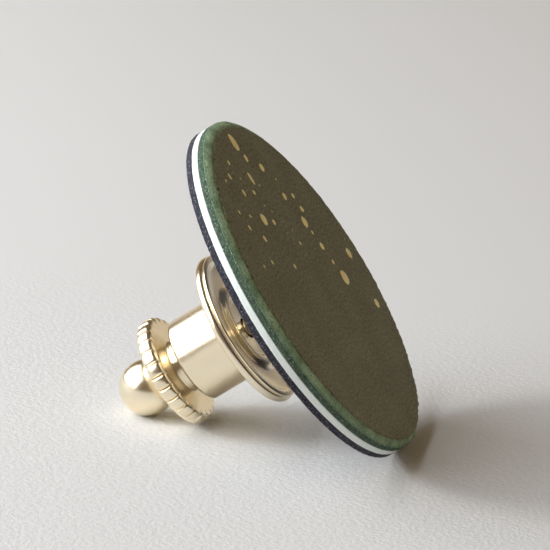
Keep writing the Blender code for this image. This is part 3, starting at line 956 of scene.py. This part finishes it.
def makeBarrel(shell):
    outline = [
        (shell["plateBore"], shell["flangeFront"]), (shell["flange"], shell["flangeFront"]),
        (shell["flange"], shell["flangeBack"]), (shell["radius"], shell["flangeBack"]),
        (shell["radius"], shell["rear"]), (shell["stemHole"], shell["rear"]),
        (shell["stemHole"], shell["wall"]), (shell["bore"], shell["wall"]),
        (shell["bore"], shell["seat"]), (shell["plateBore"], shell["seat"]),
    ]
    obj = turnOutline("flangedBarrel", outline + outline[:1], shell["steps"])
    for depth in (shell["flangeFront"], shell["flangeBack"]):
        roundRing(obj, shell["flange"], depth, shell["rimRound"], 8)
    roundRing(obj, shell["radius"], shell["flangeBack"], shell["fillet"], 5)
    roundRing(obj, shell["radius"], shell["rear"], shell["rearRound"], 8)
    roundRing(obj, shell["stemHole"], shell["rear"], shell["holeRound"], 3)
    settle(obj, brassMaterial, postOffset)
    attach(obj, "housing")
    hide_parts("clutch_shell")


makeBarrel(barrel)
print("clutch housing made")


# Spring inside the barrel.

coil = {
    "radius": 2.017, "wire": 0.12, "start": 8.41, "end": 9.97, "turns": 3, "steps": 36,
    "wireSides": 10, "endInset": 0.03, "endRise": 0.01,
}


def makeSpring(spring):
    selectNothing()
    bpy.ops.mesh.primitive_circle_add(
        vertices=spring["wireSides"],
        radius=spring["wire"] * mm,
        location=(spring["radius"] * mm, 0, -spring["start"] * mm),
        rotation=(math.pi / 2, 0, 0),
    )
    obj = nameNew("coilSpring")
    wind = obj.modifiers.new("wind", "SCREW")
    wind.angle = spring["turns"] * fullTurn
    wind.screw_offset = -(spring["end"] - spring["start"]) * mm
    wind.steps = wind.render_steps = spring["turns"] * spring["steps"]
    wind.use_merge_vertices = False
    finishModifiers(obj)
    # Close both cut ends and ease their edges.
    startEdit(obj, "EDGE")
    bpy.ops.mesh.select_non_manifold()
    bpy.ops.mesh.edge_face_add()
    weldAll()
    pick(obj, lambda face: len(face.verts) == spring["wireSides"], "FACE")
    bpy.ops.mesh.inset(thickness=spring["endInset"] * mm, depth=spring["endRise"] * mm)
    endEdit()
    settle(obj, steelMaterial, postOffset)
    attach(obj, "spring")
    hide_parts("knob_spring")
    return obj


springPiece = makeSpring(coil)


# Knob: milled ring and ball.

milledRing = {
    "bore": 1.405, "hub": 1.905, "hubFront": 10.63, "front": 11.29, "back": 12.46,
    "radius": 3.95, "side": 0.36, "sideSteps": 8, "crown": 0.03, "pads": 26, "padSteps": 16,
    "grooveDepth": 0.28, "grooveEase": 10, "pillow": 0.025, "grooveStart": 3.2, "webRadius": 2.6,
    "hubRound": 0.08, "hubFoot": 0.07,
}


def makeMilledRing(ring):
    front, back, radius, side = ring["front"], ring["back"], ring["radius"], ring["side"]
    groove, web = ring["grooveStart"], ring["webRadius"]
    rim = []
    for index in range(ring["sideSteps"] + 1):
        angle = math.pi / 2 * index / ring["sideSteps"]
        rim.append((radius - ring["crown"] - side * (1 - math.sin(angle)),
                    front + side * (1 - math.cos(angle))))
    middle = (front + back) / 2
    farSide = [(r, 2 * middle - depth) for r, depth in reversed(rim)]
    outline = (
        [(ring["bore"], ring["hubFront"]), (ring["hub"], ring["hubFront"]), (ring["hub"], front),
         (web, front), (groove, front)]
        + rim + [(radius, middle)] + farSide
        + [(groove, back), (web, back), (ring["bore"], back)]
    )
    pitch = fullTurn / ring["pads"]
    obj = turnOutline("milledRing", outline + outline[:1], ring["padSteps"], pitch)

    def inColumn(vert, angle):
        # Whether it is on the rim, in the spun column at this angle.
        turned = abs(math.atan2(vert.co.y, vert.co.x))
        return radiusOf(vert) > groove + 0.05 and abs(turned - angle) < pitch / 100

    # One pad: its two sides drop into the groove.
    startEdit(obj)
    for column in range(ring["padSteps"] + 1):
        share = abs(2 * column / ring["padSteps"] - 1)  # 0 mid-pad, 1 in the groove
        drop = ring["grooveDepth"] * share ** ring["grooveEase"] + ring["pillow"] * share ** 2
        if share == 1:
            drop = ring["grooveDepth"]
        angle = pitch * column / ring["padSteps"]
        pick(obj, lambda vert: inColumn(vert, angle))
        resizeRing((radius - drop) / radius)
    # The same pad all the way round.
    bpy.ops.mesh.select_all(action="SELECT")
    others = ring["pads"] - 1
    bpy.ops.mesh.spin(
        steps=others, dupli=True, angle=pitch * others, center=(0, 0, 0), axis=(0, 0, 1)
    )
    weldAll()
    bpy.ops.transform.rotate(value=pitch / 2, orient_axis="Z", center_override=(0, 0, 0))
    endEdit()
    roundRing(obj, ring["hub"], ring["hubFront"], ring["hubRound"], 3)
    roundRing(obj, ring["hub"], front, ring["hubFoot"], 3)
    settle(obj, brassMaterial, postOffset, 50)
    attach(obj, "knob")
    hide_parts("knurled_ring")


makeMilledRing(milledRing)

ballEnd = {
    "radius": 1.95, "centre": 14.215, "neck": 1.15, "footFront": 12.48, "footBack": 12.58,
    "foot": 1.6, "footEdge": 0.06, "footRise": 0.04, "spigot": 0.64, "spigotFront": 11.89,
    "spigotEdge": 0.06, "neckRound": 0.03, "segments": 96, "rings": 64,
}


def makeBall(ball):
    selectNothing()
    bpy.ops.mesh.primitive_uv_sphere_add(
        segments=ball["segments"],
        ring_count=ball["rings"],
        radius=ball["radius"] * mm,
        location=(0, 0, -ball["centre"] * mm),
    )
    obj = nameNew("ballEnd")
    reach = math.sqrt(ball["radius"] ** 2 - ball["neck"] ** 2)
    startEdit(obj, "EDGE")
    bpy.ops.mesh.select_all(action="SELECT")
    cutDepth = ball["centre"] - reach
    bpy.ops.mesh.bisect(
        plane_co=(0, 0, -cutDepth * mm), plane_no=(0, 0, 1), clear_outer=True,
        threshold=0.0001 * mm,
    )
    # The open edge is drawn into the neck, foot and spigot, and closed.
    pick(obj, lambda edge: edge.is_boundary, "EDGE")
    radius, depth = ball["neck"], cutDepth
    for newRadius, newDepth in (
        (ball["neck"], ball["footBack"]), (ball["foot"] - ball["footEdge"], ball["footBack"]),
        (ball["foot"], ball["footBack"] - ball["footRise"]), (ball["foot"], ball["footFront"]),
        (ball["spigot"], ball["footFront"]),
        (ball["spigot"], ball["spigotFront"] + ball["spigotEdge"]),
        (ball["spigot"] - ball["spigotEdge"], ball["spigotFront"]),
    ):
        drawUp(depth - newDepth, newRadius / radius)
        radius, depth = newRadius, newDepth
    bpy.ops.mesh.edge_face_add()
    weldAll()
    endEdit()
    roundRing(obj, ball["neck"], ball["footBack"], ball["neckRound"], 3)
    settle(obj, brassMaterial, postOffset, 40)
    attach(obj, "knob")
    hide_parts("ball_knob")


makeBall(ballEnd)
print("knob made")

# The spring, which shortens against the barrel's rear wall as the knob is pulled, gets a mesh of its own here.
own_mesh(springPiece)

# CAD nodes whose shape is right keep it and take a finish here.
keptNodes = {
    "pad_adhesive": glueMaterial,
    "post_braze": brazeMaterial,
    "lock_cone": steelMaterial,
    "ball_cage": brassMaterial,
    "lock_ball_1": steelMaterial,
    "lock_ball_2": steelMaterial,
    "lock_ball_3": steelMaterial,
}
for nodeName, material in keptNodes.items():
    for slot in frame["nodes"][nodeName].material_slots:
        slot.material = material
print("kept CAD nodes finished:", len(keptNodes))


# Floor, light and camera.

floorLook = {
    "size": 4.0, "light": (0.735, 0.732, 0.722), "dark": (0.69, 0.687, 0.677),
    "grain": 2600.0, "cloud": 60.0, "rough": (0.78, 0.9), "specular": 0.25, "bump": 0.25,
    "relief": 0.12, "fadeFrom": -0.005, "fadeTo": 0.045,
}


def makeFloor(look):
    selectNothing()
    bpy.ops.mesh.primitive_plane_add(size=look["size"], location=(0, 0, cadBox[0].z))
    floor = nameNew("paperFloor")
    material = bpy.data.materials.new("palePaper")
    material.use_nodes = True
    tree = material.node_tree
    shader = tree.nodes["Principled BSDF"]
    shader.inputs["Specular IOR Level"].default_value = look["specular"]
    place = addNode(tree, "ShaderNodeTexCoord").outputs["Object"]
    grain = placeGrain(tree, place, look)
    # The paper's tooth is strongest beside the pin and dies away behind it.
    away = addNode(tree, "ShaderNodeSeparateXYZ", {0: place}).outputs["Y"]
    near = spread(tree, away, look["fadeFrom"], look["fadeTo"], 1.0, 0.0, smooth=True)
    tooth = mathNode(tree, "MULTIPLY", mathNode(tree, "SUBTRACT", grain["Grain"], 0.5), near)
    tooth = mathNode(tree, "ADD", tooth, 0.5)
    base = mixColour(tree, tooth, look["dark"], look["light"])
    setSurface(tree, shader, base, spread(tree, grain["Cloud"], 0, 1, *look["rough"]))
    setBump(tree, shader, tooth, look["bump"], look["relief"])
    floor.data.materials.append(material)


makeFloor(floorLook)


def addPanel(name, place, size, power, colour, target):
    light = bpy.data.lights.new(name, "AREA")
    light.shape = "RECTANGLE"
    light.size, light.size_y = size
    light.energy = power
    light.color = colour
    panel = bpy.data.objects.new(name, light)
    bpy.context.scene.collection.objects.link(panel)
    panel.location = place
    panel.rotation_euler = (Vector(target) - Vector(place)).to_track_quat("-Z", "Y").to_euler()
    panel.visible_camera = False


lightPlan = {
    "window": {"place": (-0.24, -0.052, 0.182), "size": (0.50, 0.31), "power": 1.64,
               "colour": (0.915, 0.955, 1.0), "target": (0, -0.02, 0.04)},
    "lowWindow": {"place": (-0.35, -0.058, 0.155), "size": (0.12, 0.07), "power": 0.90,
                  "colour": (0.915, 0.955, 1.0), "target": (0, 0, 0.01)},
    "fill": {"place": (0.35, -0.12, 0.30), "size": (0.35, 0.30), "power": 0.05,
             "colour": (1.0, 0.86, 0.64), "target": (0, 0, 0.01)},
    "backdrop": {"place": (0.12, 0.62, 0.075), "size": (1.5, 0.14), "power": 0.36,
                 "colour": (1.0, 0.93, 0.80), "target": (0, 0, 0.03)},
}
roomLook = {"colour": (1.0, 0.70, 0.40), "strength": 0.155}

for name, plan in lightPlan.items():
    addPanel(name, **plan)

world = bpy.data.worlds.new("room")
bpy.context.scene.world = world
world.use_nodes = True
backdrop = world.node_tree.nodes["Background"]
backdrop.inputs["Color"].default_value = (*roomLook["colour"], 1.0)
backdrop.inputs["Strength"].default_value = roomLook["strength"]
bpy.context.scene.view_settings.view_transform = "Standard"

# The camera looks past the face from its lower side; offsets are of the face's centre from the
# middle of the view, in millimetres.
cameraPlan = {
    "azimuth": 8.39, "elevation": 18.0, "roll": 4.17, "fieldOfView": 8.0,
    "aside": 2.82, "below": 0.36, "distance": 262.3,
}


def makeCamera(plan):
    azimuth, elevation = math.radians(plan["azimuth"]), math.radians(plan["elevation"])
    roll = math.radians(plan["roll"])
    level = Vector((math.cos(azimuth), math.sin(azimuth), 0))
    ahead = Vector((
        -math.sin(azimuth) * math.cos(elevation),
        math.cos(azimuth) * math.cos(elevation),
        -math.sin(elevation),
    ))
    upright = level.cross(ahead)
    right = level * math.cos(roll) + upright * math.sin(roll)
    up = upright * math.cos(roll) - level * math.sin(roll)
    back = ahead * plan["distance"] + right * plan["aside"] - up * plan["below"]
    data = bpy.data.cameras.new("viewCamera")
    data.angle = math.radians(plan["fieldOfView"])
    camera = bpy.data.objects.new("viewCamera", data)
    bpy.context.scene.collection.objects.link(camera)
    turned = Matrix((right, up, -ahead)).transposed()
    camera.matrix_world = Matrix.Translation(faceCentre - back * mm) @ turned.to_4x4()
    bpy.context.scene.camera = camera


makeCamera(cameraPlan)
print("stage made")
